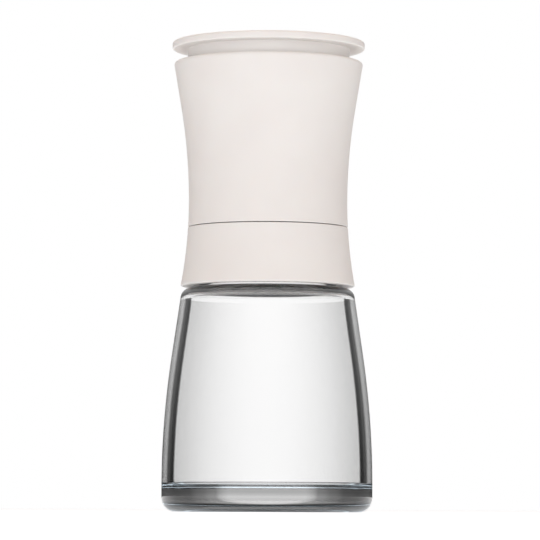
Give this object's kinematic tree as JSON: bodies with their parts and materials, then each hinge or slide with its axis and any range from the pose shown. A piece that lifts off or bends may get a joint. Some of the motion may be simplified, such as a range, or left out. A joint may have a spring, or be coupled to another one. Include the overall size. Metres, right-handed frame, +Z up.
{
  "type": "pepper mill",
  "caption": "Waisted hand-twist pepper mill: a clear glass jar under a cream moulded head with an adjustable ceramic burr grinder and a push-in lid.",
  "frame": {"origin": "middle of the jar's foot, on the surface that it stands on", "axes": "+Z up along the mill's axis, from the jar's foot to the lid; the mill is round, so +X and +Y only place the screws and spokes"},
  "size_m": [0.0624, 0.0624, 0.14],
  "materials": {
    "cream_plastic": "moulded warm off-white, satin to matte, with a faint spark-eroded texture",
    "clear_glass": "clear pressed soda-lime glass, fire-polished",
    "white_ceramic": "unglazed sintered alumina, matt",
    "grey_plastic": "moulded dark grey, satin",
    "steel": "stainless, drawn or turned",
    "brass": "turned",
    "white_nylon": "natural white, slippery",
    "silicone": "soft, translucent white"
  },
  "bodies": {
    "jar": {"glass_jar": "clear_glass"},
    "gasket": {"neck_gasket": "silicone"},
    "collar": {"collar": "cream_plastic", "glide_washer": "white_nylon", "retaining_clip": "steel", "shaft_spider": "grey_plastic", "drive_shaft": "steel", "spring_washer": "steel", "cone_spring": "steel"},
    "grip": {"grip_shell": "cream_plastic", "burr_housing": "grey_plastic", "hopper_funnel": "grey_plastic", "ring_burr": "white_ceramic", "ring_retainer": "grey_plastic", "housing_screw_1": "steel", "housing_screw_2": "steel", "housing_screw_3": "steel"},
    "lid": {"lid": "cream_plastic", "lid_seal": "silicone"},
    "cone": {"cone_carrier": "grey_plastic", "cone_burr": "white_ceramic"},
    "knob": {"grind_knob": "grey_plastic", "knob_insert": "brass"}
  },
  "joints": [
    {"name": "head_lift", "type": "slide", "parent": "jar", "child": "gasket", "axis": [0, 0, 1], "range_m": [0, 0.00525]},
    {"name": "head_unscrew", "type": "hinge", "parent": "gasket", "child": "collar", "pos_m": [0, 0, 0.0737], "axis": [0, 0, 1], "range_deg": [0, 450]},
    {"name": "grip_turn", "type": "hinge", "parent": "collar", "child": "grip", "pos_m": [0, 0, 0.087], "axis": [0, 0, 1], "continuous": true},
    {"name": "lid_lift", "type": "slide", "parent": "grip", "child": "lid", "axis": [0, 0, 1], "range_m": [0, 0.04]},
    {"name": "cone_set", "type": "slide", "parent": "collar", "child": "cone", "axis": [0, 0, 1], "range_m": [0, 0.0015], "deforming": ["cone_spring"]},
    {"name": "knob_turn", "type": "hinge", "parent": "cone", "child": "knob", "pos_m": [0, 0, 0.1275], "axis": [0, 0, 1], "range_deg": [0, 540]}
  ],
  "couplings": [
    {"joint": "head_unscrew", "follows": "head_lift", "rad_per_m": 1496},
    {"joint": "knob_turn", "follows": "cone_set", "rad_per_m": 6283.2}
  ]
}
